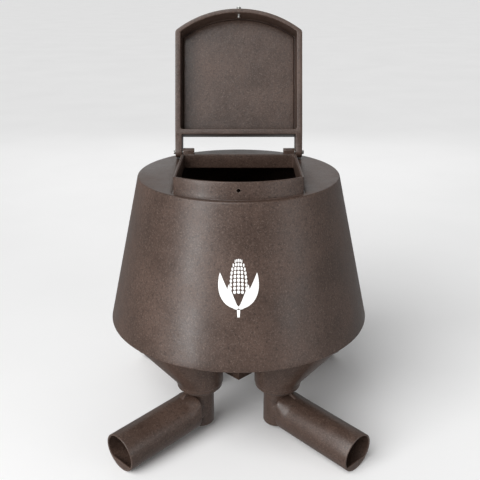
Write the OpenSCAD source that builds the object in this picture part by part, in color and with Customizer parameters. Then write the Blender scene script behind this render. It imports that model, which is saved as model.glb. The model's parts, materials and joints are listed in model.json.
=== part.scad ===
// Game feeder: a conical hopper with a hinged fill lid, a spin-motor port in the
// middle of its floor and four swivelling gravity spouts that it stands on.
// Millimetres, +Z up, front towards -Y, the ground at z = 0 under the outlets.

/* [Hopper] */
// Radius of the lower rim
rim_r = 381; // [378:1:384]
// Radius of the flat deck
deck_r = 285; // [283:1:290]
// Height of the lower rim above the ground
rim_z = 340; // [338:1:344]
// Height of the cone, from the rim to the deck
cone_h = 427; // [400:1:450]
// Thickness of the moulded wall
wall = 6; // [5:0.5:7]

/* [Fill neck] */
// Outer width of the fill neck
neck_w = 336; // [332:1:338]
// Distance from the axis to the front of the curved front wall
neck_front = 266; // [262:1:267]
// Distance from the axis back to the rear wall
neck_rear = 75; // [72:1:77]
// Height of the neck's rim above the deck, at the front
neck_h = 46; // [40:1:48]
// Thickness of the neck's wall
neck_wall = 8; // [6:0.5:9]

/* [Lid] */
// Outer width of the lid
lid_w = 382; // [380:1:384]
// Length from the hinge axis to the front of the lid
lid_len = 430; // [429:1:431]
// Outer height of the lid
lid_h = 62; // [60:1:64]
// Width of the lid's side walls, seen at their rim
lid_wall = 16; // [15:0.5:17]
// Width of the lid's curved front wall
lid_front_wall = 12; // [11.5:0.5:12.5]
// How far the lid stands open, from closed
lid_open = 111; // [100:1:111]
// Height of the hinge axis above the deck
hinge_up = 23; // [22.8:0.1:23.2]
// Distance of the hinge axis behind the hopper's axis
hinge_back = 148; // [146:1:150]

/* [Spouts] */
// Outer radius of a chute's round collar
collar_r = 69.7; // [68:0.1:71]
// Distance of a collar's axis from the hopper's axis
collar_reach = 164.6; // [162:0.1:168]
// Outer radius of a spout's upright stub
stub_r = 41.5; // [40:0.1:43]
// Outer radius of a spout's tube
tube_r = 56.4; // [54:0.1:57]
// Distance from a stub's axis to the centre of its outlet
tube_reach = 301; // [280:1:310]
// Fall of a spout's tube towards its outlet, in degrees
tube_fall = 3.8; // [3:0.1:5]
// Thickness of a spout's wall
tube_wall = 5.5; // [5:0.1:6]

/* [Motor port] */
// Distance from the axis to a corner of the square column
column_corner = 124; // [120:1:125]
// Radius of the round throat
throat_r = 50; // [45:1:52]
// Bolt circle radius of the motor mount
motor_bolt_reach = 100; // [98:1:102]

/* [Hidden] */
$fn = 96;

plastic = [0.33, 0.27, 0.24];
dark_rubber = [0.10, 0.10, 0.10];
zinc = [0.75, 0.76, 0.76];

// Hopper
deck_z = rim_z + cone_h;
cone_slope = (rim_r - deck_r) / cone_h;
edge_r = 5;
skin = wall / cos(atan(cone_slope));

// Fill neck: straight side walls meet the curved front wall at neck_corner_y
neck_half = neck_w / 2;
neck_corner_y = -208;
neck_bulge = neck_front + neck_corner_y;
neck_arc_r = (neck_half * neck_half + neck_bulge * neck_bulge) / (2 * neck_bulge);
neck_h_rear = neck_h - 11;
neck_tilt = atan((neck_h - neck_h_rear) / (neck_front + neck_rear));
latch_up = 24;
latch_hole_r = 5.5;

// Hinge: ears on the deck, the lid's arms outside them
hinge_z = deck_z + hinge_up;
ear_in = 135;
ear_out = 168;
ear_half = 12;
ear_up = 11;
ear_edge_r = 5;
insert_r = 4.5;
insert_len = 16;
arm_in = 171;
arm_out = lid_w / 2;
bolt_r = 3;
run_gap = 0.05;
loose_gap = 0.3;

// Lid, in its closed place with the hinge axis at the origin
rim_gap = 2;
lid_low = rim_gap - hinge_up;
lid_high = lid_low + lid_h;
lid_skin = 4;
lid_corner = 364;
lid_bulge = lid_len - lid_corner;
lid_arc_r = (arm_out * arm_out + lid_bulge * lid_bulge) / (2 * lid_bulge);
cross_rear = 51.5;
cross_front = 67.5;
arm_end_r = 14.5;
heel = [13.9, 26.8];

// Latch pin, along the lid at its front wall
latch_z = latch_up - hinge_up;
pin_r = 2.9;
pin_tip = 408;
bush_r = 6;
bush_flange_r = 9;
bush_flange_t = 1.2;
knob_r = 7;
knob_t = 9;
clip_r = 5;
clip_t = 1.2;

// Chute: a ramp from a wide mouth in the floor to an upright collar
mouth_r = 136;
mouth_at = [-213.4, -106.7];
collar_at = [-collar_reach / sqrt(2), -collar_reach / sqrt(2)];
collar_z = 146;
ramp_low_z = 165;
ramp_inside = 1.6;
hull_fn = 60;

// Spout
gasket_t = 4;
gasket_r = 60;
flange_t = 4;
flange_r = 58;
stub_low_z = 19;
stub_top_z = 174;
flange_low = collar_z - gasket_t - loose_gap - flange_t;
stub_edge_r = 8;
nut_r = 60;
nut_t = 12;
tube_start = 44;
end_wall = 8;
outlet_z = tube_r * cos(tube_fall);
tube_z = outlet_z + tube_reach * tan(tube_fall);
dam_share = 0.22;
dam_t = 5;
end_block_len = 20;
end_block_half = 40;
gusset_from = 50;
gusset_to = 76;
gusset_t = 12;
throat_wall = 8;
bend_r = stub_r - 0.5;

// Motor port
column_z = 162;
column_t = 6;
cover_r = 72;
cover_t = 4;
port_gasket_t = 2;
cover_bolt_reach = 63;
motor_hole_r = 3.3;
screw_r = 2.5;

function arc(cx, cy, r, from, to, steps) =
    [for (i = [0 : steps]) let (a = from + (to - from) * i / steps)
        [cx + r * cos(a), cy + r * sin(a)]];

// ---- hopper ----

module cone_profile() {
    lean = atan(cone_slope);
    inner_r = edge_r;
    corner_r = deck_r - edge_r * (1 - sin(lean)) / cos(lean);
    polygon(concat(
        [[rim_r, rim_z]],
        arc(corner_r, deck_z - edge_r, edge_r, lean, 90, 6),
        [[0, deck_z], [0, deck_z - wall]],
        [[corner_r - inner_r, deck_z - wall]],
        [[deck_r - skin + wall * cone_slope - 1, deck_z - wall - 1]],
        [[rim_r - skin, rim_z]]
    ));
}

module neck_prism(inset, low, high) {
    intersection() {
        translate([-neck_half + inset, -neck_front - 10, low])
            cube([neck_w - 2 * inset, neck_front + neck_rear + 10 - inset, high - low]);
        translate([0, neck_arc_r - neck_front, low])
            cylinder(r = neck_arc_r - inset, h = high - low, $fn = 180);
    }
}

// A block with its two upper edges rounded.
module ear() {
    flat_half = ear_half - ear_edge_r;
    side_h = hinge_up + ear_up - ear_edge_r + 2;
    translate([ear_in, hinge_back, deck_z - 2]) {
        translate([0, -ear_half, 0]) cube([ear_out - ear_in, 2 * ear_half, side_h]);
        translate([0, -flat_half, 0])
            cube([ear_out - ear_in, 2 * flat_half, side_h + ear_edge_r]);
        for (y = [-flat_half, flat_half]) translate([0, y, side_h])
            rotate([0, 90, 0]) cylinder(r = ear_edge_r, h = ear_out - ear_in, $fn = 32);
    }
}

// The blind hole in an ear: the insert's pocket, and room for the bolt's tip behind it.
module ear_bore() {
    along_x(ear_out - insert_len, ear_out + 1) circle(r = insert_r, $fn = 48);
    along_x(ear_out - insert_len - 4, ear_out) circle(r = bolt_r + run_gap, $fn = 48);
}

module hopper_shell() {
    color(plastic) difference() {
        union() {
            rotate_extrude($fn = 180) cone_profile();
            difference() {
                neck_prism(0, deck_z - wall, deck_z + neck_h + 5);
                translate([-neck_w, -neck_front, deck_z + neck_h])
                    rotate([-neck_tilt, 0, 0])
                        translate([0, -50, 0]) cube([2 * neck_w, 500, 60]);
            }
            ear();
            mirror([1, 0, 0]) ear();
        }
        neck_prism(neck_wall, deck_z - wall - 1, deck_z + neck_h + 10);
        translate([0, -neck_front - 5, deck_z + latch_up])
            rotate([-90, 0, 0]) cylinder(r = latch_hole_r, h = neck_wall + 10);
        both_sides() ear_bore();
    }
}

module at_four(reach, start) {
    for (i = [0 : 3]) rotate([0, 0, start + 90 * i]) translate([reach, 0, 0]) children();
}

module diamond(corner, low, high) {
    side = corner * sqrt(2);
    rotate([0, 0, 45]) translate([-side / 2, -side / 2, low]) cube([side, side, high - low]);
}

module half_space(low, high, back) {
    translate([-rim_r, -rim_r, low]) cube([2 * rim_r, rim_r - back, high - low]);
}

module mouth_cut() {
    intersection() {
        translate([mouth_at[0], mouth_at[1], rim_z - 1]) cylinder(r = mouth_r - wall, h = wall + 2);
        half_space(rim_z - 2, rim_z + wall + 2, wall);
    }
    translate([collar_at[0], collar_at[1], rim_z - 1])
        cylinder(r = collar_r - wall, h = wall + 2);
}

module hopper_floor() {
    color(plastic) difference() {
        translate([0, 0, rim_z])
            cylinder(r = rim_r - skin - cone_slope * wall - 0.2, h = wall, $fn = 180);
        diamond(column_corner - column_t * sqrt(2), rim_z - 1, rim_z + wall + 1);
        for (x = [0, 1], y = [0, 1]) mirror([x, 0, 0]) mirror([0, y, 0]) mouth_cut();
    }
}

module motor_column() {
    color(plastic) difference() {
        diamond(column_corner, column_z, rim_z);
        diamond(column_corner - column_t * sqrt(2), column_z + column_t, rim_z + 1);
        translate([0, 0, column_z - 1]) cylinder(r = throat_r, h = column_t + 2);
        translate([0, 0, column_z - 1])
            at_four(motor_bolt_reach, 0) cylinder(r = motor_hole_r, h = column_t + 2, $fn = 32);
        translate([0, 0, column_z - 1])
            at_four(cover_bolt_reach, 45) cylinder(r = screw_r, h = column_t + 2, $fn = 32);
    }
}

// The ramp's block from the collar at low to the mouth at high, kept to its side of y = 0.
module ramp(inset, low, high) {
    intersection() {
        hull() {
            translate([mouth_at[0], mouth_at[1], high - 1])
                cylinder(r = mouth_r - inset, h = 1, $fn = hull_fn);
            translate([collar_at[0], collar_at[1], low])
                cylinder(r = collar_r - inset - ramp_inside, h = 1, $fn = hull_fn);
        }
        half_space(low - 1, high + 1, inset);
    }
}

// An upright round post with the same flat sides as the ramp, so that the two join cleanly.
module post(r, low, high) {
    hull() translate([collar_at[0], collar_at[1], low])
        cylinder(r = r, h = high - low, $fn = hull_fn);
}

module chute() {
    color(plastic) difference() {
        union() {
            ramp(0, ramp_low_z, rim_z);
            post(collar_r, collar_z, rim_z);
        }
        ramp(wall, ramp_low_z + wall, rim_z + 2);
        post(collar_r - wall, collar_z + wall, rim_z + 3);
        translate([collar_at[0], collar_at[1], collar_z - 1])
            cylinder(r = stub_r + run_gap, h = wall + 2);
    }
}

module chute_front_left() { chute(); }
module chute_front_right() { mirror([1, 0, 0]) chute(); }
module chute_rear_left() { mirror([0, 1, 0]) chute(); }
module chute_rear_right() { mirror([1, 0, 0]) mirror([0, 1, 0]) chute(); }

// ---- motor port cover ----

module port_cover() {
    low = column_z - port_gasket_t - cover_t;
    color(plastic) difference() {
        translate([0, 0, low]) cylinder(r = cover_r, h = cover_t);
        translate([0, 0, low - 1])
            at_four(cover_bolt_reach, 45) cylinder(r = screw_r, h = cover_t + 2, $fn = 32);
    }
}

module port_gasket() {
    color(dark_rubber) difference() {
        translate([0, 0, column_z - port_gasket_t]) cylinder(r = cover_r, h = port_gasket_t);
        translate([0, 0, column_z - port_gasket_t - 1])
            cylinder(r = throat_r, h = port_gasket_t + 2);
        translate([0, 0, column_z - port_gasket_t - 1])
            at_four(cover_bolt_reach, 45)
                cylinder(r = screw_r, h = port_gasket_t + 2, $fn = 32);
    }
}

module port_screws() {
    head_t = 3;
    low = column_z - port_gasket_t - cover_t;
    color(zinc) at_four(cover_bolt_reach, 45) {
        translate([0, 0, low - head_t]) cylinder(r = 4.6, h = head_t, $fn = 32);
        translate([0, 0, low - 0.5]) cylinder(r = screw_r, h = 18.5, $fn = 32);
    }
}

module spout_gaskets() {
    color(dark_rubber) at_four(collar_reach, 45) difference() {
        translate([0, 0, collar_z - gasket_t]) cylinder(r = gasket_r, h = gasket_t);
        translate([0, 0, collar_z - gasket_t - 1]) cylinder(r = stub_r + 0.5, h = gasket_t + 2);
    }
}

// ---- hinge fasteners ----

washer_t = 1.6;
washer_r = 6.5;
head_t = 4;
hex_r = 5.8;

module along_x(from, to) {
    translate([from, hinge_back, hinge_z]) rotate([0, 90, 0]) linear_extrude(to - from) children();
}

module both_sides() {
    children();
    mirror([1, 0, 0]) children();
}

module hinge_bolts() {
    head_in = arm_out + loose_gap + washer_t;
    color(zinc) both_sides() {
        along_x(ear_out - insert_len - 2, head_in + 0.5) circle(r = bolt_r, $fn = 48);
        along_x(head_in, head_in + head_t) circle(r = hex_r, $fn = 6);
    }
}

module hinge_inserts() {
    color(zinc) both_sides() along_x(ear_out - insert_len, ear_out) difference() {
        circle(r = insert_r, $fn = 48);
        circle(r = bolt_r, $fn = 48);
    }
}

module washer_ring() {
    difference() {
        circle(r = washer_r, $fn = 48);
        circle(r = bolt_r, $fn = 48);
    }
}

module hinge_washers() {
    color(zinc) both_sides() {
        along_x(arm_out + loose_gap, arm_out + loose_gap + washer_t) washer_ring();
        along_x(ear_out, arm_in - loose_gap) washer_ring();
    }
}

// ---- lid ----

// Puts a shape made in the closed lid's frame where the open lid holds it.
module on_open_lid() {
    translate([0, hinge_back, hinge_z]) rotate([-lid_open, 0, 0]) children();
}

module lid_prism(side_inset, front_inset, rear, low, high) {
    intersection() {
        translate([-arm_out + side_inset, -lid_len - 10, low])
            cube([lid_w - 2 * side_inset, lid_len + 10 - rear, high - low]);
        translate([0, lid_arc_r - lid_len, low])
            cylinder(r = lid_arc_r - front_inset, h = high - low, $fn = 180);
    }
}

module lid_arm() {
    translate([arm_in, 0, 0]) rotate([90, 0, 90]) linear_extrude(arm_out - arm_in) {
        circle(r = arm_end_r, $fn = 72);
        polygon([
            [0, -arm_end_r], [-cross_rear - 1, lid_low], [-cross_rear - 1, lid_high],
            [0, lid_high], [heel[0], heel[1]], [arm_end_r, 0]
        ]);
    }
}

module lid() {
    color(plastic) on_open_lid() difference() {
        union() {
            lid_prism(0, 0, cross_rear, lid_low, lid_high);
            both_sides() lid_arm();
        }
        lid_prism(lid_wall, lid_front_wall, cross_front, lid_low - 1, lid_high - lid_skin);
        translate([-arm_out - 1, 0, 0])
            rotate([0, 90, 0]) cylinder(r = bolt_r + run_gap, h = lid_w + 2);
        translate([0, -lid_len - 1, latch_z])
            rotate([-90, 0, 0]) cylinder(r = bush_r, h = lid_front_wall + 5);
    }
}

// Revolves a profile about the latch's axis: x is the radius, y the distance from the hinge.
module about_latch() {
    on_open_lid() translate([0, 0, latch_z]) rotate([90, 0, 0])
        rotate_extrude($fn = 48) children();
}

module latch_bushing() {
    color(zinc) about_latch() {
        translate([pin_r + run_gap, lid_len - lid_front_wall])
            square([bush_r - pin_r - run_gap, lid_front_wall + bush_flange_t]);
        translate([pin_r + run_gap, lid_len + 0.05])
            square([bush_flange_r - pin_r - run_gap, bush_flange_t - 0.05]);
    }
}

module latch_pin() {
    knob_low = lid_len + bush_flange_t + loose_gap;
    color(zinc) about_latch() polygon([
        [0, pin_tip], [pin_r - 0.9, pin_tip], [pin_r, pin_tip + 0.9], [pin_r, knob_low],
        [knob_r - 1, knob_low], [knob_r, knob_low + 1], [knob_r, knob_low + 3],
        [knob_r - 1.4, knob_low + 4], [knob_r - 1.4, knob_low + 5],
        [knob_r, knob_low + 6], [knob_r, knob_low + knob_t - 1],
        [knob_r - 1, knob_low + knob_t], [0, knob_low + knob_t]
    ]);
}

module latch_clip() {
    color(zinc) about_latch() translate([pin_r, pin_tip + 1.2]) square([clip_r - pin_r, clip_t]);
}

// ---- spouts: the stub's axis is z, the tube runs towards +x ----

module along_tube(from, to, r) {
    translate([0, 0, tube_z]) rotate([0, 90 + tube_fall, 0])
        translate([0, 0, from]) cylinder(r = r, h = to - from);
}

module stub_profile() {
    polygon(concat(
        [[0, stub_low_z]],
        arc(stub_r - stub_edge_r, stub_low_z + stub_edge_r, stub_edge_r, -90, 0, 6),
        [[stub_r, stub_top_z], [0, stub_top_z]]
    ));
}

module dam() {
    out = tube_reach / cos(tube_fall);
    translate([0, 0, tube_z]) rotate([0, 90 + tube_fall, 0]) intersection() {
        translate([0, 0, out - dam_t]) cylinder(r = tube_r, h = dam_t);
        translate([tube_r * (1 - 2 * dam_share), -tube_r, out - dam_t - 1])
            cube([tube_r, 2 * tube_r, dam_t + 2]);
    }
}

// The half space from the tube's upright end face outwards.
module beyond_end_face() {
    size = 2 * tube_reach;
    translate([tube_start, -size / 2, -size / 2]) cube(size);
}

// Squares the upper half of the tube's near end, up to the flange.
module end_block() {
    translate([tube_start, -end_block_half, tube_z])
        cube([end_block_len, 2 * end_block_half, flange_low - tube_z]);
}

module gusset() {
    low = flange_low - 12;
    translate([0, gusset_t / 2, 0]) rotate([90, 0, 0]) linear_extrude(gusset_t)
        polygon([[gusset_from, low], [gusset_from, flange_low], [flange_r, flange_low],
                 [gusset_to, flange_low - 8], [gusset_to, low]]);
}

module throat_bore() {
    along_tube(0, tube_start + tube_wall + end_wall, bend_r - throat_wall);
}

// The tube that lies on the ground, with its squared near end and the dam at its outlet.
module spout() {
    out = tube_reach / cos(tube_fall);
    difference() {
        intersection() {
            union() {
                along_tube(tube_start - 10, out, tube_r);
                end_block();
                gusset();
            }
            beyond_end_face();
        }
        difference() {
            along_tube(tube_start + end_wall, out + 1, tube_r - tube_wall);
            dam();
        }
        throat_bore();
    }
}

// The upright stub and its flange, with the short bend that the tube starts from.
module spout_neck() {
    difference() {
        union() {
            rotate_extrude() stub_profile();
            translate([0, 0, flange_low]) cylinder(r = flange_r, h = flange_t);
            difference() {
                along_tube(0, tube_start + 10, bend_r);
                beyond_end_face();
            }
        }
        throat_bore();
        translate([0, 0, stub_low_z + tube_wall])
            cylinder(r = stub_r - tube_wall, h = stub_top_z - stub_low_z);
    }
}

module locknut() {
    difference() {
        translate([0, 0, collar_z + wall + loose_gap]) cylinder(r = nut_r, h = nut_t, $fn = 8);
        translate([0, 0, collar_z + wall]) cylinder(r = stub_r, h = nut_t + 1);
    }
}

module at_collar(turn) {
    rotate([0, 0, turn]) translate([collar_reach, 0, 0]) children();
}

module spout_front_left() { color(plastic) at_collar(225) spout(); }
module spout_front_right() { color(plastic) at_collar(315) spout(); }
module spout_rear_left() { color(plastic) at_collar(135) spout(); }
module spout_rear_right() { color(plastic) at_collar(45) spout(); }

module spout_neck_front_left() { color(plastic) at_collar(225) spout_neck(); }
module spout_neck_front_right() { color(plastic) at_collar(315) spout_neck(); }
module spout_neck_rear_left() { color(plastic) at_collar(135) spout_neck(); }
module spout_neck_rear_right() { color(plastic) at_collar(45) spout_neck(); }

module locknut_front_left() { color(plastic) at_collar(225) locknut(); }
module locknut_front_right() { color(plastic) at_collar(315) locknut(); }
module locknut_rear_left() { color(plastic) at_collar(135) locknut(); }
module locknut_rear_right() { color(plastic) at_collar(45) locknut(); }

hopper_shell();
hopper_floor();
motor_column();
chute_front_left();
chute_front_right();
chute_rear_left();
chute_rear_right();
port_cover();
port_gasket();
port_screws();
spout_gaskets();
hinge_bolts();
hinge_inserts();
hinge_washers();
lid();
latch_bushing();
latch_pin();
latch_clip();
spout_front_left();
spout_front_right();
spout_rear_left();
spout_rear_right();
spout_neck_front_left();
spout_neck_front_right();
spout_neck_rear_left();
spout_neck_rear_right();
locknut_front_left();
locknut_front_right();
locknut_rear_left();
locknut_rear_right();
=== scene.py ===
"""Looks for the game feeder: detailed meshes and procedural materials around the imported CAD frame.

Lengths are in metres in the row frame: +Z up, front towards -Y, the ground at z = 0.
"""
import json
import math

import bmesh
import bpy
import numpy as np
from mathutils import Matrix, Vector


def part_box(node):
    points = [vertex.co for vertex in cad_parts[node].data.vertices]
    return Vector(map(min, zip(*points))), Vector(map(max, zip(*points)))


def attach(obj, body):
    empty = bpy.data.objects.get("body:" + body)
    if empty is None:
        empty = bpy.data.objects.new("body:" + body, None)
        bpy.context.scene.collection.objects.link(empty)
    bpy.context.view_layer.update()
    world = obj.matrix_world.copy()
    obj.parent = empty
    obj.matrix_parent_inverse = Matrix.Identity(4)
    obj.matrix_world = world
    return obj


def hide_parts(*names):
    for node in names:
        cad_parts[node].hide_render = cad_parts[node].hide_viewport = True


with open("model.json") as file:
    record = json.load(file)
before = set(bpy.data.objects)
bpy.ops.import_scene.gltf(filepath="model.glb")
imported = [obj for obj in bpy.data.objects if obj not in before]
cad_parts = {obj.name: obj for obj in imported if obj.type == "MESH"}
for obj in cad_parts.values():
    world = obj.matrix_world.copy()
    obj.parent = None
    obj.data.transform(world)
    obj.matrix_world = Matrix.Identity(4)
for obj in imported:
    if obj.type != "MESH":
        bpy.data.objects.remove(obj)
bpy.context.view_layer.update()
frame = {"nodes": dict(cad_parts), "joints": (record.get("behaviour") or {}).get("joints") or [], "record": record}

# ---- sizes, read from the frame where it has them ----

MM = 0.001
SHELL_LOW, SHELL_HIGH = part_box("hopper_shell")
RIM_R = SHELL_HIGH.x
RIM_Z = SHELL_LOW.z
HINGE = next(j for j in frame["joints"] if j["name"] == "lid_hinge")
HINGE_Y, HINGE_Z = HINGE["pos_m"][1], HINGE["pos_m"][2]
HINGE_UP = 23 * MM
DECK_Z = HINGE_Z - HINGE_UP
DECK_R = 285 * MM
WALL = 6 * MM
DECK_EDGE = 5 * MM
CONE_SLOPE = (RIM_R - DECK_R) / (DECK_Z - RIM_Z)

NECK_HALF = 168 * MM
NECK_FRONT = -266 * MM
NECK_REAR = 75 * MM
NECK_ARC_R = 272.3 * MM
NECK_WALL = 8 * MM
NECK_H = 46 * MM
NECK_FALL = 11 / 341

EAR_IN, EAR_OUT = 135 * MM, 168 * MM
EAR_HALF, EAR_UP, EAR_EDGE = 12 * MM, 11 * MM, 4 * MM
BOLT_R, HEX_R, HEAD_T = 3 * MM, 5.8 * MM, 4 * MM
WASHER_R, WASHER_T = 6.5 * MM, 1.6 * MM
INSERT_R, INSERT_LEN = 4.5 * MM, 16 * MM
LATCH_UP = 24 * MM
LATCH_HOLE_R = 5.5 * MM

LID_OPEN = math.radians(HINGE["range_deg"][1])
LID_HALF = 191 * MM
LID_LEN = 430 * MM
LID_BULGE = 66 * MM
LID_ARC_R = (LID_HALF ** 2 + LID_BULGE ** 2) / (2 * LID_BULGE)
LID_WALL, LID_FRONT_WALL = 16 * MM, 12 * MM
LID_LOW, LID_HIGH = -21 * MM, 41 * MM
LID_DEPTH = 58 * MM
CROSS_REAR, CROSS_FRONT = 51.5 * MM, 67.5 * MM
ARM_IN = 171 * MM
ARM_END_R = 14.5 * MM
HEEL = (13.9 * MM, 26.8 * MM)
PANEL_RISE = 6 * MM
SCAR_R = 9 * MM

COLLAR_R = 69.7 * MM
COLLAR_REACH = 164.6 * MM
COLLAR_Z = 146 * MM
RAMP_LOW_Z = 165 * MM
RAMP_INSIDE = 1.6 * MM
MOUTH_R = 136 * MM
MOUTH_AT = Vector((-213.4 * MM, -106.7 * MM))
COLLAR_AT = Vector((-COLLAR_REACH / math.sqrt(2), -COLLAR_REACH / math.sqrt(2)))

STUB_R, STUB_LOW, STUB_TOP, STUB_EDGE = 41.5 * MM, 19 * MM, 174 * MM, 8 * MM
TUBE_R, TUBE_WALL, TUBE_START = 56.4 * MM, 5.5 * MM, 44 * MM
TUBE_FALL = math.radians(3.8)
TUBE_REACH = 301 * MM
TUBE_OUT = TUBE_REACH / math.cos(TUBE_FALL)
TUBE_Z = TUBE_R * math.cos(TUBE_FALL) + TUBE_REACH * math.tan(TUBE_FALL)
FLANGE_LOW, FLANGE_T, FLANGE_R = 137.7 * MM, 4 * MM, 58 * MM
BEND_R, THROAT_WALL, END_WALL = 41 * MM, 8 * MM, 8 * MM
END_RISE, END_LEN = 2 * MM, 40 * MM
DAM_SHARE, DAM_T = 0.22, 5 * MM

SPOUTS = {"front_left": 225, "front_right": 315, "rear_left": 135, "rear_right": 45}

MARK_Z = RIM_Z + 220 * MM
MARK_SCALE = 1.36
MARK_LIFT = 0.3 * MM

# The photograph's camera: one lens, tilt and distance fit its round edges.
LENS, SENSOR = 53.4, 36.0
CAMERA_AT = Vector((3.7 * MM, -5.16 * RIM_R, RIM_Z + 2.51 * RIM_R))
CAMERA_TILT = math.radians(20.5)


# ---- mesh helpers ----

def new_object(name, mesh):
    obj = bpy.data.objects.new(name, mesh)
    bpy.context.scene.collection.objects.link(obj)
    return obj


def mesh_from(name, verts, faces):
    mesh = bpy.data.meshes.new(name)
    mesh.from_pydata([tuple(v) for v in verts], [], faces)
    mesh.update()
    return new_object(name, mesh)


def smooth(obj, angle=32):
    """Smooth shading, with edges sharper than angle kept."""
    mesh = obj.data
    mesh.polygons.foreach_set("use_smooth", [True] * len(mesh.polygons))
    mesh.set_sharp_from_angle(angle=math.radians(angle))
    mesh.update()
    return obj


def ring_mesh(name, rings, joined=False, cap_start=False, cap_end=False):
    """A mesh through rings of equal point counts; joined closes the last ring onto the first."""
    n = len(rings[0])
    verts = [p for ring in rings for p in ring]
    faces = []
    count = len(rings)
    for k in range(count if joined else count - 1):
        a, b = k * n, ((k + 1) % count) * n
        for i in range(n):
            j = (i + 1) % n
            faces.append((a + i, a + j, b + j, b + i))
    if cap_start:
        faces.append(tuple(reversed(range(n))))
    if cap_end:
        faces.append(tuple(range((count - 1) * n, count * n)))
    obj = mesh_from(name, verts, faces)
    mend_normals(obj)
    return obj


def mend_normals(obj):
    bm = bmesh.new()
    bm.from_mesh(obj.data)
    bmesh.ops.recalc_face_normals(bm, faces=bm.faces)
    bm.to_mesh(obj.data)
    bm.free()


def circle(r, z, angles, centre=(0, 0)):
    return [(centre[0] + r * math.cos(a), centre[1] + r * math.sin(a), z) for a in angles]


def even_angles(n):
    return [2 * math.pi * i / n for i in range(n)]


def arc_pairs(cu, cv, r, start, end, steps):
    """Points (u, v) along an arc, from start to end in degrees."""
    out = []
    for i in range(steps + 1):
        a = math.radians(start + (end - start) * i / steps)
        out.append((cu + r * math.cos(a), cv + r * math.sin(a)))
    return out


def revolve(name, profile, n=96):
    """A closed solid of revolution about z from (radius, z) pairs that start and end on the axis."""
    angles = even_angles(n)
    verts, faces, rings = [], [], []
    for r, z in profile:
        if r < 1e-7:
            rings.append([len(verts)] * n)
            verts.append((0, 0, z))
        else:
            rings.append(list(range(len(verts), len(verts) + n)))
            verts += circle(r, z, angles)
    for lower, upper in zip(rings, rings[1:]):
        for i in range(n):
            j = (i + 1) % n
            face = []
            for v in (lower[i], lower[j], upper[j], upper[i]):
                if v not in face:
                    face.append(v)
            if len(face) > 2:
                faces.append(face)
    obj = mesh_from(name, verts, faces)
    mend_normals(obj)
    return obj


def plug(name, r, length, n=32):
    """A plain cylinder from the origin up z, to cut with."""
    return revolve(name, [(0, 0), (r, 0), (r, length), (0, length)], n)


def revolve_ring(name, profile, n=96):
    """A closed ring-shaped solid of revolution about z from a closed loop of (radius, z) pairs."""
    angles = even_angles(n)
    return ring_mesh(name, [circle(r, z, angles) for r, z in profile], joined=True)


def prism_x(name, outline, x0, x1, bevel, segments=3):
    """A prism along x from an outline of (y, z) pairs, with its long edges rounded."""
    n = len(outline)
    verts = [(x0, y, z) for y, z in outline] + [(x1, y, z) for y, z in outline]
    faces = [tuple(range(n)), tuple(range(n, 2 * n))]
    faces += [(i, (i + 1) % n, n + (i + 1) % n, n + i) for i in range(n)]
    obj = mesh_from(name, verts, faces)
    mend_normals(obj)
    bevel_edges(obj, bevel, segments)
    return obj


def bevel_edges(obj, width, segments=3, over=28):
    """Rounds every edge whose faces meet at more than the angle over."""
    bm = bmesh.new()
    bm.from_mesh(obj.data)
    edges = [e for e in bm.edges if len(e.link_faces) == 2
             and e.calc_face_angle() > math.radians(over)]
    bmesh.ops.bevel(bm, geom=edges, offset=width, segments=segments, profile=0.5,
                    affect="EDGES", clamp_overlap=True)
    bm.to_mesh(obj.data)
    bm.free()


def combine(target, tool, operation):
    """Applies one boolean to target and removes tool."""
    modifier = target.modifiers.new("cut", "BOOLEAN")
    modifier.operation = operation
    modifier.object = tool
    modifier.solver = "EXACT"
    apply_modifiers(target)
    bpy.data.objects.remove(tool)
    return target


def apply_modifiers(obj):
    bpy.context.view_layer.update()
    graph = bpy.context.evaluated_depsgraph_get()
    mesh = bpy.data.meshes.new_from_object(obj.evaluated_get(graph))
    obj.modifiers.clear()
    obj.data = mesh


def place(obj, matrix):
    obj.data.transform(matrix)
    obj.data.update()
    return obj


def copy_of(obj, name):
    return new_object(name, obj.data.copy())


def mirrored_x(obj, name):
    twin = copy_of(obj, name)
    place(twin, Matrix.Scale(-1, 4, Vector((1, 0, 0))))
    mend_normals(twin)
    return twin


OPEN_LID = Matrix.Translation((0, HINGE_Y, HINGE_Z)) @ Matrix.Rotation(-LID_OPEN, 4, "X")


# ---- outlines of the neck and the lid: a box whose front is an arc ----

def slab_exit(rays, middle, half, front, rear):
    """How far rays from a point inside a box go before they leave it."""
    with np.errstate(divide="ignore"):
        across = half / np.abs(rays[:, 0])
        along = np.where(rays[:, 1] > 0, rear - middle[1], middle[1] - front) / np.abs(rays[:, 1])
    return np.minimum(across, along)


def disc_exit(rays, middle, centre, r):
    """How far rays go before they leave a disc, or 0 where they miss it."""
    to = np.array(centre) - middle
    b = rays @ to
    root = b * b - to @ to + r * r
    return np.where(root >= 0, b + np.sqrt(np.maximum(root, 0)), 0)


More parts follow.
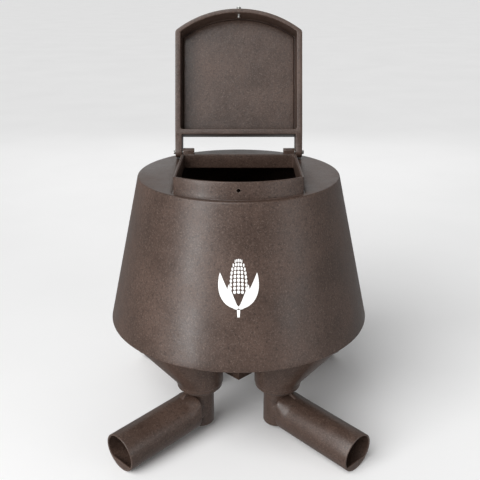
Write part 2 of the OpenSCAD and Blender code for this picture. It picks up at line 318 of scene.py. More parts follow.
def blunt_outline(half, front, rear, arc_r, corner, tight):
    """A function that gives, for an offset, the outline's points at fixed rays from its middle.

    Its corners have the radius corner plus the offset, and never less than tight.
    """
    middle = np.array([0.0, (front + rear) / 2])
    arc_y = front + arc_r

    def at(offset, angles):
        r = max(corner + offset, tight)
        core_half, core_rear, core_r = half + offset - r, rear + offset - r, arc_r + offset - r
        core_front = arc_y - math.sqrt(core_r ** 2 - core_half ** 2)
        rays = np.stack([np.cos(angles), np.sin(angles)], 1)
        reach = np.maximum(slab_exit(rays, middle, core_half + r, core_front, core_rear),
                           slab_exit(rays, middle, core_half, core_front, core_rear + r))
        arc = disc_exit(rays, middle, (0, arc_y), core_r + r)
        hits = middle + rays * arc[:, None]
        on_arc = (np.abs(hits[:, 0]) <= core_half * (1 + r / core_r)) & (hits[:, 1] < arc_y)
        reach = np.maximum(reach, np.where(on_arc, arc, 0))
        for x in (-core_half, core_half):
            for y in (core_front, core_rear):
                reach = np.maximum(reach, disc_exit(rays, middle, (x, y), r))
        return middle + rays * reach[:, None]

    return at, middle


def ray_circle(middle, angles, r):
    """Where rays from middle meet the circle of radius r about the origin."""
    rays = np.stack([np.cos(angles), np.sin(angles)], 1)
    b = rays @ middle
    t = -b + np.sqrt(b * b - middle @ middle + r * r)
    return middle + rays * t[:, None]


# ---- hopper ----

def hopper_body():
    """The cone, deck and fill neck as one closed skin of rings."""
    n = 480
    angles = np.array(even_angles(n))
    outline, middle = blunt_outline(NECK_HALF, NECK_FRONT, NECK_REAR, NECK_ARC_R, 10 * MM, 3 * MM)
    lean = math.atan(CONE_SLOPE)
    skin = WALL / math.cos(lean)
    base = ray_circle(middle, angles, 1.0)

    def round_ring(r, z):
        return [(x * r, y * r, z) for x, y in base]

    def neck_rim(xy):
        return DECK_Z + NECK_H - (xy[:, 1] - NECK_FRONT) * NECK_FALL

    rings = []
    lip = 2.2 * MM
    low_z = RIM_Z + lip * (1 + math.sin(lean))
    low_r = RIM_R - (low_z - RIM_Z) * CONE_SLOPE
    for u, v in arc_pairs(low_r - lip * math.cos(lean), RIM_Z + lip, lip, -90, math.degrees(lean), 5):
        rings.append(round_ring(u, v))
    corner_r = DECK_R - DECK_EDGE * (1 - math.sin(lean)) / math.cos(lean)
    steps = 26
    high_r = corner_r + DECK_EDGE * math.cos(lean)
    high_z = DECK_Z - DECK_EDGE + DECK_EDGE * math.sin(lean)
    for i in range(1, steps):
        t = i / steps
        rings.append(round_ring(low_r + (high_r - low_r) * t, low_z + (high_z - low_z) * t))
    for u, v in arc_pairs(corner_r, DECK_Z - DECK_EDGE, DECK_EDGE, math.degrees(lean), 90, 6):
        rings.append(round_ring(u, v))

    groove_w, groove_d = 5 * MM, 1.4 * MM
    toe = outline(groove_w + 2 * MM, angles)
    edge = np.array([p[:2] for p in rings[-1]])
    for i in range(1, 9):
        t = i / 9
        xy = edge * (1 - t) + toe * t
        rings.append([(x, y, DECK_Z) for x, y in xy])
    foot = [(groove_w + 1 * MM, 0), (groove_w, -0.2 * groove_d), (groove_w - 1 * MM, -groove_d)]
    foot += arc_pairs(1.5 * MM, 1.5 * MM - groove_d, 1.5 * MM, -90, -180, 3)
    for u, v in foot:
        xy = outline(u, angles)
        rings.append([(x, y, DECK_Z + v) for x, y in xy])

    top_round = 2.4 * MM
    profile = [(0.0, -0.6 * NECK_H), (0.0, -0.3 * NECK_H)]
    profile += arc_pairs(-top_round, -top_round, top_round, 0, 90, 4)
    profile += arc_pairs(-NECK_WALL + top_round, -top_round, top_round, 90, 180, 4)
    profile += [(-NECK_WALL, -0.4 * NECK_H), (-NECK_WALL, -0.8 * NECK_H)]
    for u, v in profile:
        xy = outline(u, angles)
        rings.append([(x, y, z + v) for (x, y), z in zip(xy, neck_rim(xy))])

    under, fillet = DECK_Z - WALL, 3 * MM
    for u, v in arc_pairs(-NECK_WALL + fillet, under + fillet, fillet, 180, 270, 3):
        xy = outline(u, angles)
        rings.append([(x, y, v) for x, y in xy])
    inner_high = DECK_R - skin - 2 * MM
    mouth = np.array([p[:2] for p in rings[-1]])
    wide = np.array([p[:2] for p in round_ring(inner_high - 3 * MM, under)])
    for i in range(1, 6):
        xy = mouth * (1 - i / 5) + wide * (i / 5)
        rings.append([(x, y, under) for x, y in xy])
    for i in range(13):
        t = i / 12
        z = under - 3 * MM + (RIM_Z + 1 * MM - under + 3 * MM) * t
        rings.append(round_ring(RIM_R - skin - (z - RIM_Z) * CONE_SLOPE, z))
    rings.append(round_ring(RIM_R - skin + 1 * MM, RIM_Z))
    body = ring_mesh("hopper_body", rings, joined=True)

    drill = plug("drill", LATCH_HOLE_R, 20 * MM)
    turn = Matrix.Rotation(math.radians(-90), 4, "X")
    place(drill, Matrix.Translation((0, NECK_FRONT - 5 * MM, DECK_Z + LATCH_UP)) @ turn)
    combine(body, drill, "DIFFERENCE")
    return smooth(body, 40)


def hinge_ear():
    """One squared hinge block on the deck, with a small flare at its foot and its bolt's blind hole."""
    flare = 4 * MM
    flat, high = EAR_HALF - EAR_EDGE, HINGE_Z + EAR_UP - EAR_EDGE
    top = arc_pairs(HINGE_Y + flat, high, EAR_EDGE, 0, 90, 6)
    top += arc_pairs(HINGE_Y - flat, high, EAR_EDGE, 90, 180, 6)
    right = [(HINGE_Y + flare + EAR_HALF - u, DECK_Z + v)
             for u, v in [(0, -1.5 * MM), (0, 0), (2.4 * MM, 1 * MM), (flare, flare)]]
    left = [(2 * HINGE_Y - y, z) for y, z in reversed(right)]
    ear = prism_x("hinge_ear", right + top + left, EAR_IN, EAR_OUT, 2.0 * MM)
    bore = rod_x("bore", INSERT_R, EAR_OUT - INSERT_LEN, EAR_OUT + 5 * MM, 0.1 * MM)
    place(bore, Matrix.Translation((0, HINGE_Y, HINGE_Z)))
    return smooth(combine(ear, bore, "DIFFERENCE"), 40)


# ---- lid, made closed with the hinge axis at the origin ----

def lid_pan():
    """The deep pan: outer face, walls, flat rim, inner walls and the raised inner panel."""
    n = 420
    angles = np.array(even_angles(n))
    outline, middle = blunt_outline(LID_HALF, -LID_LEN, -CROSS_REAR, LID_ARC_R, 12 * MM, 4 * MM)
    inner_outline, _ = blunt_outline(LID_HALF - LID_WALL, LID_FRONT_WALL - LID_LEN, -CROSS_FRONT,
                                     LID_ARC_R - LID_FRONT_WALL, 6 * MM, 5 * MM)

    def rings_of(shape, pairs):
        return [[(x, y, v) for x, y in shape(u, angles)] for u, v in pairs]

    def shrunk(ring, share):
        return [(middle[0] + (x - middle[0]) * share, middle[1] + (y - middle[1]) * share, z)
                for x, y, z in ring]

    top_edge, rim_edge = 6 * MM, 2 * MM
    inner_z = LID_LOW + LID_DEPTH
    draft = 1 * MM
    outer = arc_pairs(-top_edge, LID_HIGH - top_edge, top_edge, 90, 0, 6)
    outer += [(0, LID_HIGH - 0.4 * (LID_HIGH - LID_LOW)), (0, LID_LOW + 0.25 * (LID_HIGH - LID_LOW))]
    outer += arc_pairs(-rim_edge, LID_LOW + rim_edge, rim_edge, 0, -90, 4)
    outer += [(-LID_FRONT_WALL * 0.5, LID_LOW)]
    corner = 1.5 * MM
    groove = 3.5 * MM
    inner = arc_pairs(rim_edge, LID_LOW + rim_edge, rim_edge, -90, -180, 4)
    inner += [(-draft * 0.5, (LID_LOW + inner_z) / 2)]
    inner += arc_pairs(-draft - corner, inner_z - corner, corner, 0, 90, 3)
    panel_edge = 4.5 * MM
    panel_z = inner_z - PANEL_RISE
    inner += arc_pairs(-draft - groove - panel_edge, panel_z + panel_edge, panel_edge, 0, -90, 7)
    rings = rings_of(outline, outer) + rings_of(inner_outline, inner)
    shares = (0.02, 0.2, 0.4, 0.6, 0.8, 0.93)
    first, last = rings[0], rings[-1]
    rings = ([shrunk(first, s) for s in shares] + rings + [shrunk(last, s) for s in reversed(shares)])
    pan = ring_mesh("lid", rings, cap_start=True, cap_end=True)
    scar = revolve_ring("scar", [(SCAR_R, panel_z - 2 * MM), (SCAR_R + 0.8 * MM, panel_z - 2 * MM),
                                 (SCAR_R + 0.4 * MM, panel_z + 0.7 * MM)], 48)
    place(scar, Matrix.Translation((0, middle[1], 0)))
    return combine(pan, scar, "DIFFERENCE")


def lid_arm():
    """One arm from the pan to the hinge, with its stop heel."""
    end = arc_pairs(0, 0, ARM_END_R, 10, -100, 22)
    pan = -CROSS_REAR - 12 * MM
    outline = [(HEEL[0], HEEL[1])] + end + [(pan, LID_LOW), (pan, LID_HIGH), (0, LID_HIGH)]
    return prism_x("arm", outline, ARM_IN, LID_HALF, 2 * MM)


def lid():
    """The pan with both arms, drilled for the hinge bolts and the latch, and set open."""
    pan = lid_pan()
    right = lid_arm()
    left = mirrored_x(right, "arm_left")
    combine(pan, right, "UNION")
    combine(pan, left, "UNION")
    bore_from = 160 * MM
    for side in (-1, 1):
        bore = plug("bore", BOLT_R * 1.02, 40 * MM)
        place(bore, Matrix.Translation((side * bore_from, 0, 0))
              @ Matrix.Rotation(math.radians(90 * side), 4, "Y"))
        combine(pan, bore, "DIFFERENCE")
    hole = plug("hole", BUSH_R, 30 * MM)
    place(hole, Matrix.Translation((0, -LID_LEN - 4 * MM, LATCH_UP - HINGE_UP))
          @ Matrix.Rotation(math.radians(-90), 4, "X"))
    combine(pan, hole, "DIFFERENCE")
    place(pan, OPEN_LID)
    return smooth(pan, 35)


# ---- latch, along the closed lid's length ----

ALONG_LATCH = (OPEN_LID @ Matrix.Translation((0, 0, LATCH_UP - HINGE_UP))
               @ Matrix.Rotation(math.radians(90), 4, "X"))
PIN_R, PIN_TIP = 2.9 * MM, 408 * MM
BUSH_R, BUSH_FLANGE_R, BUSH_FLANGE_T = 6 * MM, 9 * MM, 1.2 * MM
KNOB_LOW = LID_LEN + 1.5 * MM


def latch_pin():
    profile = [(0, PIN_TIP), (PIN_R - 0.9 * MM, PIN_TIP), (PIN_R, PIN_TIP + 0.9 * MM), (PIN_R, KNOB_LOW)]
    profile += arc_pairs(6.2 * MM, KNOB_LOW + 0.8 * MM, 0.8 * MM, -90, 0, 3)
    profile += arc_pairs(7.0 * MM, KNOB_LOW + 4.4 * MM, 1.5 * MM, -110, -250, 6)
    profile += arc_pairs(5.8 * MM, KNOB_LOW + 7.8 * MM, 1.2 * MM, 0, 90, 4)
    profile += [(0, KNOB_LOW + 9 * MM)]
    return smooth(place(revolve("latch_knob_and_pin", profile, 48), ALONG_LATCH), 40)


def latch_bushing():
    bore, edge, face = PIN_R + 0.1 * MM, 0.4 * MM, LID_LEN + 0.05 * MM
    inner, outer = LID_LEN - LID_FRONT_WALL, LID_LEN + BUSH_FLANGE_T
    out = [(bore, inner), (BUSH_R - edge, inner), (BUSH_R, inner + edge), (BUSH_R, face),
           (BUSH_FLANGE_R - edge, face), (BUSH_FLANGE_R, face + edge), (BUSH_FLANGE_R - edge, outer),
           (bore, outer)]
    return smooth(place(revolve_ring("latch_bush", out, 48), ALONG_LATCH), 30)


# ---- chutes ----

def chute():
    """The front left ramp and collar as one skin, in rings round the collar's axis."""
    n = 240
    angles = even_angles(n)

    def reach(angle, z, inset):
        """Distance from the collar's axis to the skin at one height and angle."""
        t = min(max((z - RAMP_LOW_Z) / (RIM_Z - RAMP_LOW_Z), 0), 1)
        centre = (MOUTH_AT - COLLAR_AT) * t
        low_r = COLLAR_R - RAMP_INSIDE
        r = low_r + (MOUTH_R - low_r) * t - inset
        ray = Vector((math.cos(angle), math.sin(angle)))
        b = ray.dot(centre)
        root = b * b - centre.dot(centre) + r * r
        ramp = b + math.sqrt(root) if root > 0 else 0
        if ray.y > 1e-6:
            ramp = min(ramp, (-COLLAR_AT.y - inset) / ray.y)
        post = COLLAR_R - inset
        if z < RAMP_LOW_Z:
            return post
        blend = 3 * MM
        high = max(ramp, post)
        return high + max(blend - abs(ramp - post), 0) ** 2 / (4 * blend)

    def ring(z, inset):
        return [(COLLAR_AT.x + reach(a, z, inset) * math.cos(a),
                 COLLAR_AT.y + reach(a, z, inset) * math.sin(a), z) for a in angles]

    edge, step_r, step_z = 3 * MM, COLLAR_R - 2.4 * MM, COLLAR_Z + 12 * MM
    bore = STUB_R + 0.2 * MM
    centre = (COLLAR_AT.x, COLLAR_AT.y)
    rings = [circle(bore, COLLAR_Z + WALL, angles, centre), circle(bore, COLLAR_Z, angles, centre)]
    foot = arc_pairs(step_r - 4 * MM, COLLAR_Z + 4 * MM, 4 * MM, -90, 0, 5)
    foot += [(step_r, step_z - 1 * MM), (step_r + 0.3 * MM, step_z)]
    foot += arc_pairs(COLLAR_R - edge, step_z + edge, edge, -55, 0, 4)
    for u, v in foot:
        rings.append(circle(u, v, angles, centre))
    steps = 40
    heights = [RAMP_LOW_Z + (RIM_Z - RAMP_LOW_Z) * i / steps for i in range(steps + 1)]
    rings += [ring(z, 0) for z in heights]
    rings += [ring(z, WALL) for z in reversed(heights) if z > COLLAR_Z + WALL + 4 * MM]
    rings.append(circle(COLLAR_R - WALL, COLLAR_Z + WALL, angles, centre))
    return smooth(ring_mesh("chute", rings, joined=True), 30)


# ---- spouts, with the stub's axis on z and the tube towards +x ----

def along_tube(obj):
    return place(obj, Matrix.Translation((0, 0, TUBE_Z))
                 @ Matrix.Rotation(math.radians(90) + TUBE_FALL, 4, "Y"))


def tube_ring(along, inset, squared, upright):
    """One section of the tube: squared fills its upper +Y corner, upright leans it to the vertical."""
    wide, high = TUBE_R - inset, TUBE_R + END_RISE * squared - inset
    ring = []
    for angle in even_angles(144):
        c, s = math.cos(angle), math.sin(angle)
        power = 2 + 3 * squared if s > 0 and c > 0 else 2
        top = high if s > 0 else wide
        reach = (abs(c / wide) ** power + abs(s / top) ** power) ** (-1 / power)
        side, up = reach * c, reach * s
        ring.append((-up, side, along - upright * up * math.tan(TUBE_FALL)))
    return ring


def tube_solid():
    """The outside of the tube, round at its outlet and squared above at its near end."""
    edge, lip = 1.8 * MM, 1.6 * MM
    start = TUBE_START / math.cos(TUBE_FALL)
    rings = [tube_ring(start + edge - v, u, 1.0, 1.0)
             for u, v in arc_pairs(edge, 0, edge, 90, 180, 4)]
    steps = 14
    for i in range(1, steps + 1):
        t = i / steps
        rings.append(tube_ring(start + edge + (END_LEN - edge) * t, 0, (1 - t) ** 2, 1.0 - t))
    rest = TUBE_OUT - start - END_LEN - lip
    rings += [tube_ring(start + END_LEN + rest * t, 0, 0, 0) for t in (0.25, 0.5, 0.75)]
    rings += [tube_ring(TUBE_OUT - lip + v, lip - u, 0, 0) for u, v in arc_pairs(0, 0, lip, 0, 90, 4)]
    return along_tube(ring_mesh("spout", rings, cap_start=True, cap_end=True))


def gusset():
    """The small web that widens from the flange down onto the tube."""
    back, front_top, front = 50 * MM, FLANGE_R - 1 * MM, 76 * MM
    high, low = FLANGE_LOW + 0.3 * MM, FLANGE_LOW - 15 * MM
    narrow, wide = 4.5 * MM, 7.5 * MM
    rings = []
    for side in (-1, 1):
        rings.append([(back, side * wide, low), (back, side * narrow, high),
                      (front_top, side * narrow, high), (front, side * wide, low + 5 * MM),
                      (front, side * wide, low)])
    web = ring_mesh("gusset", rings, cap_start=True, cap_end=True)
    bevel_edges(web, 1 * MM, 2)
    return web


def spout():
    """Stub, bend, tube, flange, gusset and outlet dam, joined and hollowed."""
    lip, past = 1.6 * MM, 5 * MM
    body = tube_solid()
    stub = [(0, STUB_LOW)]
    stub += arc_pairs(STUB_R - STUB_EDGE, STUB_LOW + STUB_EDGE, STUB_EDGE, -90, 0, 8)
    stub += [(STUB_R, FLANGE_LOW)]
    stub += arc_pairs(FLANGE_R - 1.2 * MM, FLANGE_LOW + 1.2 * MM, 1.2 * MM, -90, 0, 3)
    stub += [(FLANGE_R, FLANGE_LOW + FLANGE_T), (STUB_R, FLANGE_LOW + FLANGE_T),
             (STUB_R, STUB_TOP), (0, STUB_TOP)]
    combine(body, revolve("stub", stub, 96), "UNION")
    bend_to = TUBE_START + 4 * MM
    bend = [(0, 1 * MM), (BEND_R, 1 * MM), (BEND_R, bend_to), (0, bend_to)]
    combine(body, along_tube(revolve("bend", bend, 80)), "UNION")
    combine(body, gusset(), "UNION")

    bore_r, bore_from = TUBE_R - TUBE_WALL, TUBE_START + END_WALL
    bore = [(0, bore_from), (bore_r, bore_from)]
    bore += [(bore_r, TUBE_OUT - lip), (bore_r + 0.5 * lip, TUBE_OUT - 0.3 * lip),
             (bore_r + lip, TUBE_OUT + 0.2 * MM), (bore_r + lip, TUBE_OUT + past), (0, TUBE_OUT + past)]
    hollow = along_tube(revolve("hollow", bore, 96))
    plate_low = TUBE_R * (1 - 2 * DAM_SHARE)
    dam = prism_x("dam", [(-TUBE_R, plate_low), (TUBE_R, plate_low), (TUBE_R, TUBE_R + past),
                          (-TUBE_R, TUBE_R + past)], TUBE_OUT - DAM_T, TUBE_OUT - 0.6 * MM, 1.2 * MM)
    # the prism's x becomes the tube's own axis and its z the tube's downward side
    place(dam, Matrix(((0, 0, 1, 0), (0, 1, 0, 0), (1, 0, 0, 0), (0, 0, 0, 1))))
    mend_normals(dam)
    along_tube(dam)
    combine(hollow, dam, "DIFFERENCE")
    combine(body, hollow, "DIFFERENCE")
    well = [(0, STUB_LOW + TUBE_WALL), (STUB_R - TUBE_WALL, STUB_LOW + TUBE_WALL),
            (STUB_R - TUBE_WALL, STUB_TOP + past), (0, STUB_TOP + past)]
    combine(body, revolve("well", well, 96), "DIFFERENCE")
    passage_r, passage_to = BEND_R - THROAT_WALL, bore_from + TUBE_WALL
    passage = [(0, 2 * MM), (passage_r, 2 * MM), (passage_r, passage_to), (0, passage_to)]
    combine(body, along_tube(revolve("passage", passage, 64)), "DIFFERENCE")
    return smooth(body, 32)


def at_collar(obj, turn):
    spin = Matrix.Rotation(math.radians(turn), 4, "Z")
    return place(obj, spin @ Matrix.Translation((COLLAR_REACH, 0, 0)))


# ---- fasteners ----

def hex_outline(r):
    return [(r * math.cos(math.radians(60 * i + 30)), r * math.sin(math.radians(60 * i + 30)))
            for i in range(6)]


def hex_head(name, r, x0, x1):
    """A hexagon along x whose outer corners are turned down."""
    head = prism_x(name, hex_outline(r), x0, x1, 0.25 * MM, 2)
    wide, turned = r * 1.2, r * 0.93
    cone = [(0, x0 - 1 * MM), (wide, x0 - 1 * MM), (wide, x1 - 1 * MM), (turned, x1), (0, x1)]
    cutter = revolve("turned", cone, 48)
    place(cutter, Matrix.Rotation(math.radians(90), 4, "Y"))
    return combine(head, cutter, "INTERSECT")


def join(objects, name):
    """One object from several separate closed solids."""
    bm = bmesh.new()
    for obj in objects:
        bm.from_mesh(obj.data)
    mesh = bpy.data.meshes.new(name)
    bm.to_mesh(mesh)
    bm.free()
    for obj in objects:
        bpy.data.objects.remove(obj)
    return new_object(name, mesh)


def at_hinge(objects, name, angle=30):
    """Both sides' copies of pieces made along x about the origin."""
    right = join(objects, name + "_right")
    place(right, Matrix.Translation((0, HINGE_Y, HINGE_Z)))
    left = mirrored_x(right, name + "_left")
    return smooth(join([right, left], name), angle)


def rod_x(name, r, x0, x1, chamfer):
    profile = [(0, x0), (r - chamfer, x0), (r, x0 + chamfer), (r, x1), (0, x1)]
    return place(revolve(name, profile, 48), Matrix.Rotation(math.radians(90), 4, "Y"))


def washer_x(name, r, bore, x0, x1):
    edge = 0.3 * MM
    loop = [(bore, x0), (r - edge, x0), (r, x0 + edge), (r, x1 - edge), (r - edge, x1), (bore, x1)]
    return place(revolve_ring(name, loop, 48), Matrix.Rotation(math.radians(90), 4, "Y"))


def hinge_hardware():
    washer_in, insert_in = LID_HALF + 0.3 * MM, EAR_OUT - INSERT_LEN
    head_in = washer_in + WASHER_T
    bolts = at_hinge([rod_x("shank", BOLT_R, insert_in - 2 * MM, head_in + 0.5 * MM, 0.6 * MM),
                      hex_head("head", HEX_R, head_in, head_in + HEAD_T)], "hinge_bolt_pair")
    inserts = at_hinge([washer_x("insert", INSERT_R, BOLT_R, insert_in, EAR_OUT)], "hinge_insert_pair")
    washers = at_hinge([washer_x("w1", WASHER_R, BOLT_R, washer_in, head_in),
                        washer_x("w2", WASHER_R, BOLT_R, EAR_OUT, ARM_IN - 0.3 * MM)], "hinge_washer_set")
    return bolts, inserts, washers


# ---- printed mark: a plain ear of maize, with no lettering ----

def cone_point(u, v):
    """A point just off the cone: u to the right and v up the slope from the mark's middle."""
    z = MARK_Z + MARK_SCALE * v * math.cos(math.atan(CONE_SLOPE))
    r = RIM_R - (z - RIM_Z) * CONE_SLOPE + MARK_LIFT
    a = MARK_SCALE * u / r
    return (r * math.sin(a), -r * math.cos(a), z)


def oval(cu, cv, ru, rv, n=20, power=2.6):
    out = []
    for i in range(n):
        a = 2 * math.pi * i / n
        c, s = math.cos(a), math.sin(a)
        out.append((cu + ru * math.copysign(abs(c) ** (2 / power), c),
                    cv + rv * math.copysign(abs(s) ** (2 / power), s)))
    return out


def leaf(side, base_v, tip_u, tip_v, width):
    """A husk leaf as an outline from the foot of the ear to its tip."""
    steps = 14
    one, two = [], []
    for i in range(steps + 1):
        t = i / steps
        u = side * (tip_u * (1 - (1 - t) ** 2) + 1.5 * MM)
        v = base_v + (tip_v - base_v) * t ** 1.35
        w = width * math.sin(math.pi * min(1, t * 0.92 + 0.08)) ** 0.8
        one.append((u + side * w * 0.5, v - w * 0.35))
        two.append((u - side * w * 0.5, v + w * 0.35))
    return one + list(reversed(two))


def mark_shapes():
    shapes = []
    rows, columns = 9, 5
    for row in range(rows):
        share = row / (rows - 1)
        half = 17 * MM * math.sqrt(max(1 - (share * 0.93) ** 2.6, 0.06))
        for column in range(columns):
            across = (column - (columns - 1) / 2) / ((columns - 1) / 2)
            u = half * across * 0.86
            ru = half / columns * (1.02 - 0.25 * abs(across))
            v = -10 * MM + row * 7.4 * MM - 1.6 * MM * across * across
            shapes.append(oval(u, v, ru * 0.84, 3.1 * MM))
    for side in (-1, 1):
        shapes.append(leaf(side, -40 * MM, 33 * MM, 26 * MM, 15 * MM))
        shapes.append(leaf(side, -42 * MM, 17 * MM, 4 * MM, 11 * MM))
    shapes.append([(-3 * MM, -44 * MM), (3 * MM, -44 * MM), (2.2 * MM, -58 * MM), (-2.2 * MM, -58 * MM)])
    return shapes


def printed_mark():
    bm = bmesh.new()
    for shape in mark_shapes():
        face = bm.faces.new([bm.verts.new((u, v, 0)) for u, v in shape])
        bmesh.ops.triangulate(bm, faces=[face])
    bmesh.ops.subdivide_edges(bm, edges=[e for e in bm.edges if e.calc_length() > 8 * MM], cuts=2)
    bmesh.ops.triangulate(bm, faces=bm.faces)
    for v in bm.verts:
        v.co = cone_point(v.co.x, v.co.y)
    bmesh.ops.recalc_face_normals(bm, faces=bm.faces)
    mesh = bpy.data.meshes.new("printed_mark")
    bm.to_mesh(mesh)
    bm.free()
    return smooth(new_object("printed_mark", mesh), 60)


# ---- materials ----

def new_material(name, colour, roughness):
    material = bpy.data.materials.new(name)
    material.use_nodes = True
    tree = material.node_tree
    shader = tree.nodes["Principled BSDF"]
    shader.inputs["Base Color"].default_value = (*colour, 1)
    shader.inputs["Roughness"].default_value = roughness
    return material, tree, shader


def add(tree, kind, **values):
    """A node with its inputs, and its own settings, set by name."""
    node = tree.nodes.new("ShaderNode" + kind)
    for name, value in values.items():
        label = name.replace("_", " ").title()
        if label in node.inputs:
            node.inputs[label].default_value = value
        else:
            setattr(node, name, value)
    return node


def object_place(tree):
    return add(tree, "TexCoord").outputs["Object"]


def noise(tree, place, scale, detail=2.0, roughness=0.5):
    node = add(tree, "TexNoise", scale=scale, detail=detail, roughness=roughness)
    tree.links.new(place, node.inputs["Vector"])
    return node.outputs["Fac"]


def limits(tree, source, low, high, to_low=0.0, to_high=1.0):
    """Maps low..high of a value to to_low..to_high, and holds it there outside."""
    node = add(tree, "MapRange", from_min=low, from_max=high, to_min=to_low, to_max=to_high)
    tree.links.new(source, node.inputs["Value"])
    return node.outputs["Result"]


def multiply(tree, a, b):
    node = add(tree, "Math", operation="MULTIPLY")
    tree.links.new(a, node.inputs[0])
    tree.links.new(b, node.inputs[1])
    return node.outputs[0]


def mixed(tree, factor, a, b):
    node = add(tree, "Mix", data_type="RGBA")
    tree.links.new(factor, node.inputs[0])
    for source, socket in ((a, node.inputs[6]), (b, node.inputs[7])):
        if isinstance(source, tuple):
            socket.default_value = (*source, 1)
        else:
            tree.links.new(source, socket)
    return node.outputs[2]


def bumped(tree, shader, layers):
    """Bump from (height, strength, distance) layers, finest last."""
    normal = None
    for height, strength, distance in layers:
        node = add(tree, "Bump", strength=strength, distance=distance)
        tree.links.new(height, node.inputs["Height"])
        if normal:
            tree.links.new(normal, node.inputs["Normal"])
        normal = node.outputs["Normal"]
    tree.links.new(normal, shader.inputs["Normal"])


def edge_mask(tree, radius):
    """High along edges, where a rounded normal leaves the true one."""
    bevel = add(tree, "Bevel", radius=radius, samples=4)
    dot = add(tree, "VectorMath", operation="DOT_PRODUCT")
    tree.links.new(bevel.outputs["Normal"], dot.inputs[0])
    tree.links.new(add(tree, "NewGeometry").outputs["Normal"], dot.inputs[1])
    return limits(tree, dot.outputs["Value"], 0.99, 0.80)


BROWN = (0.064, 0.038, 0.028)
BROWN_DARK = (0.030, 0.017, 0.012)
BROWN_PALE = (0.150, 0.108, 0.088)
# pale colour for convex edges: partly real wear, partly a painted highlight along the edges
BROWN_WORN_AND_HIGHLIT = (0.26, 0.195, 0.165)


def scaled(colour, share):
    return tuple(c * share for c in colour)


def speckled_plastic():
    """Moulded brown plastic with dark and pale grains through it, and paler edges that are partly scuffs and
    partly a painted highlight.
    """
    material, tree, shader = new_material("speckled_plastic", BROWN, 0.5)
    place = object_place(tree)
    clouds = noise(tree, place, 7.0, 5.0, 0.65)
    colour = mixed(tree, limits(tree, clouds, 0.33, 0.67), scaled(BROWN, 0.70), scaled(BROWN, 1.28))
    dark = limits(tree, noise(tree, place, 170.0, 4.0, 0.8), 0.50, 0.36, 0.0, 1.0)
    colour = mixed(tree, dark, colour, BROWN_DARK)
    pale = limits(tree, noise(tree, place, 240.0, 3.0, 0.75), 0.53, 0.68, 0.0, 0.6)
    colour = mixed(tree, pale, colour, BROWN_PALE)
    # convex edges go paler in patches: partly real scuffing, partly a painted highlight along the edges
    scuffs_and_highlight = limits(tree, noise(tree, place, 38.0, 4.0, 0.7), 0.42, 0.62, 0.35 * 0.8, 0.8)
    worn_and_highlit = multiply(tree, edge_mask(tree, 2.5 * MM), scuffs_and_highlight)
    colour = mixed(tree, worn_and_highlit, colour, BROWN_WORN_AND_HIGHLIT)
    tree.links.new(colour, shader.inputs["Base Color"])
    tree.links.new(limits(tree, clouds, 0.3, 0.7, 0.30, 0.48), shader.inputs["Roughness"])
    shader.inputs["Specular IOR Level"].default_value = 0.55
    bumped(tree, shader, [(noise(tree, place, 22.0, 3.0), 0.35, 1.6 * MM),
                          (noise(tree, place, 80.0, 2.0), 0.35, 0.7 * MM),
                          (noise(tree, place, 600.0, 2.0, 0.6), 0.45, 0.3 * MM)])
    return material


def black_rubber():
    material, tree, shader = new_material("black_rubber", (0.02, 0.02, 0.02), 0.75)
    place = object_place(tree)
    dust = limits(tree, noise(tree, place, 90.0, 4.0, 0.7), 0.4, 0.7)
    tree.links.new(mixed(tree, dust, (0.014, 0.014, 0.014), (0.045, 0.043, 0.040)),
                   shader.inputs["Base Color"])
    bumped(tree, shader, [(noise(tree, place, 900.0), 0.3, 0.2 * MM)])
    return material


def zinc_plate():
    """Bright plated steel with a faint clouding and fine turning marks."""
    material, tree, shader = new_material("zinc_plate", (0.62, 0.63, 0.61), 0.34)
    shader.inputs["Metallic"].default_value = 1.0
    place = object_place(tree)
    clouds = noise(tree, place, 160.0, 4.0, 0.6)
    tree.links.new(mixed(tree, limits(tree, clouds, 0.35, 0.7), (0.50, 0.51, 0.49), (0.70, 0.71, 0.69)),
                   shader.inputs["Base Color"])
    tree.links.new(limits(tree, clouds, 0.3, 0.7, 0.26, 0.45), shader.inputs["Roughness"])
    bumped(tree, shader, [(noise(tree, place, 1600.0), 0.15, 0.1 * MM)])
    return material


def white_print():
    """Pad-printed white ink, a little thin in places."""
    material, tree, shader = new_material("white_print", (0.85, 0.85, 0.83), 0.55)
    place = object_place(tree)
    thin = limits(tree, noise(tree, place, 420.0, 3.0, 0.7), 0.66, 0.78, 0.0, 0.5)
    tree.links.new(mixed(tree, thin, (0.86, 0.86, 0.85), (0.40, 0.37, 0.35)),
                   shader.inputs["Base Color"])
    bumped(tree, shader, [(noise(tree, place, 700.0), 0.2, 0.15 * MM)])
    return material


def pale_floor():
    material, tree, shader = new_material("pale_floor", (0.94, 0.94, 0.94), 0.8)
    place = object_place(tree)
    clouds = limits(tree, noise(tree, place, 1.5, 3.0), 0.3, 0.7)
    tree.links.new(mixed(tree, clouds, (0.93, 0.93, 0.93), (0.96, 0.96, 0.96)),
                   shader.inputs["Base Color"])
    return material


# ---- stage ----

SOFTBOXES = (
    ("key_softbox", 1.0, 1.4, 20, (-1.75, -2.0, 0.95)),
    ("fill_softbox", 0.7, 1.3, 6, (2.3, -1.6, 1.0)),
    ("low_left_softbox", 0.45, 0.6, 6, (-1.5, -1.75, 0.30)),
    ("low_right_softbox", 0.45, 0.6, 2, (1.5, -1.75, 0.30)),
    ("back_softbox", 4.0, 2.0, 12, (0.0, 3.6, 1.9)),
)


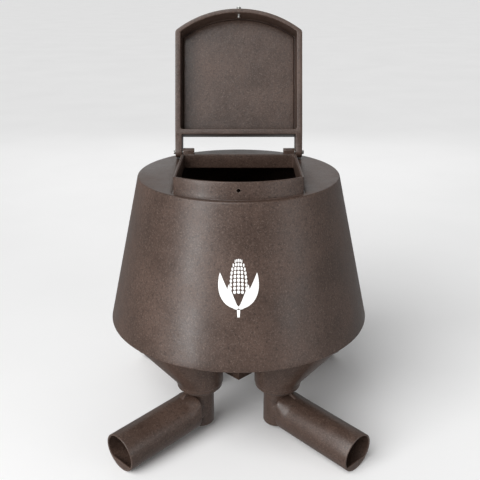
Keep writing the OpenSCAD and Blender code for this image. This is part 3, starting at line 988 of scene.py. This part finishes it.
def studio():
    camera = bpy.data.objects.new("camera", bpy.data.cameras.new("camera"))
    camera.data.lens = LENS
    camera.data.sensor_width = SENSOR
    camera.data.clip_end = 200
    camera.location = CAMERA_AT
    camera.rotation_euler = (math.radians(90) - CAMERA_TILT, 0, 0)
    bpy.context.scene.collection.objects.link(camera)
    bpy.context.scene.camera = camera

    far = 60
    floor = mesh_from("floor", [(-far, -far, 0), (far, -far, 0), (far, far, 0), (-far, far, 0)],
                      [(0, 1, 2, 3)])
    floor.data.materials.append(pale_floor())
    # the wide white floor would wash out the plastic's gloss, so reflections pass it by
    floor.visible_glossy = False

    world = bpy.data.worlds.new("studio")
    world.use_nodes = True
    world.node_tree.nodes["Background"].inputs["Color"].default_value = (1, 1, 1, 1)
    world.node_tree.nodes["Background"].inputs["Strength"].default_value = 0.28
    bpy.context.scene.world = world
    bpy.context.scene.view_settings.view_transform = "Standard"

    sun = bpy.data.lights.new("high_soft_light", "SUN")
    sun.energy, sun.angle = 2.5, math.radians(50)
    shine("high_soft_light", sun, Vector((-2.4, -3.0, 4.2)))
    for name, width, height, watts, at in SOFTBOXES:
        softbox(name, width, height, watts, Vector(at))


def softbox(name, width, height, watts, at):
    light = bpy.data.lights.new(name, "AREA")
    light.shape, light.size, light.size_y, light.energy = "RECTANGLE", width, height, watts
    shine(name, light, at)


def shine(name, light, at, towards=Vector((0, 0, 0.55))):
    lamp = bpy.data.objects.new(name, light)
    lamp.location = at
    lamp.rotation_euler = (at - towards).to_track_quat("Z", "Y").to_euler()
    bpy.context.scene.collection.objects.link(lamp)


# ---- everything in its place ----

def dress(piece, body, material, slot, *nodes):
    piece.data.materials.clear()
    piece.data.materials.append(material)
    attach(piece, body)
    if nodes:
        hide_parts(*nodes)


studio()
plastic = speckled_plastic()
rubber = black_rubber()
zinc = zinc_plate()

hopper = hopper_body()
ear_right = hinge_ear()
ear_left = mirrored_x(ear_right, "hinge_ear_left")
ear_right.name = "hinge_ear_right"
dress(hopper, "hopper", plastic, "speckled_plastic", "hopper_shell")
dress(ear_right, "hopper", plastic, "speckled_plastic")
dress(smooth(ear_left, 40), "hopper", plastic, "speckled_plastic")

base_chute = chute()
base_spout = spout()
for side, turn in SPOUTS.items():
    ramp_piece = copy_of(base_chute, "chute_" + side + "_moulding")
    flip_x = -1 if "right" in side else 1
    flip_y = -1 if "rear" in side else 1
    place(ramp_piece, Matrix.Diagonal((flip_x, flip_y, 1, 1)))
    mend_normals(ramp_piece)
    dress(smooth(ramp_piece, 30), "hopper", plastic, "speckled_plastic", "chute_" + side)
    tube_piece = copy_of(base_spout, "spout_" + side + "_moulding")
    # the tube's squared corner faces the middle of the feeder on every spout
    place(tube_piece, Matrix.Diagonal((1, flip_x * flip_y, 1, 1)))
    mend_normals(tube_piece)
    dress(smooth(at_collar(tube_piece, turn), 32), "spout_" + side, plastic, "speckled_plastic",
          "spout_" + side, "spout_neck_" + side)
bpy.data.objects.remove(base_chute)
bpy.data.objects.remove(base_spout)

lid_body = lid()
dress(lid_body, "lid", plastic, "speckled_plastic", "lid")
dress(latch_pin(), "latch", zinc, "zinc", "latch_pin")
dress(latch_bushing(), "lid", zinc, "zinc", "latch_bushing")
for piece, node in zip(hinge_hardware(), ("hinge_bolts", "hinge_inserts", "hinge_washers")):
    dress(piece, "hopper", zinc, "zinc", node)
dress(printed_mark(), "hopper", white_print(), "white_print")

FINISHES = {"rubber": rubber, "zinc": zinc}
for part in frame["record"]["subparts"]:
    node = frame["nodes"][part["node"]]
    node.data.materials.clear()
    node.data.materials.append(FINISHES.get(part["material_slot"], plastic))
